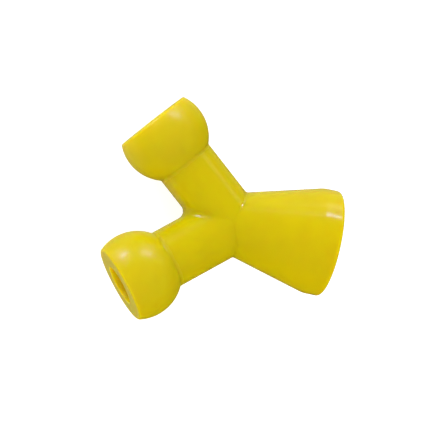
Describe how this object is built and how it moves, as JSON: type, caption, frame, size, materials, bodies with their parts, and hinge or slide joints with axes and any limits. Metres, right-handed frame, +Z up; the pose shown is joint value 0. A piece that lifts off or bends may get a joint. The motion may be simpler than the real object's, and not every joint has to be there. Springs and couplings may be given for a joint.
{
  "type": "tubing y connector",
  "caption": "One-piece Y fitting of a modular ball-and-socket hose: a flared snap socket splits into two arms, each ending in a bored ball.",
  "frame": {"origin": "centre of the bounding box in plan, on the surface that the fitting lies on", "axes": "+Z up; +X towards the socket's mouth, whose axis rises 3.3 degrees from level; the arms spread to +Y and -Y; XZ is the plane of symmetry"},
  "size_m": [0.0342, 0.0338, 0.0162],
  "materials": {
    "yellow_acetal": "glossy injection-moulded yellow acetal"
  },
  "bodies": {
    "root": {"y_fitting": "yellow_acetal"}
  },
  "joints": []
}
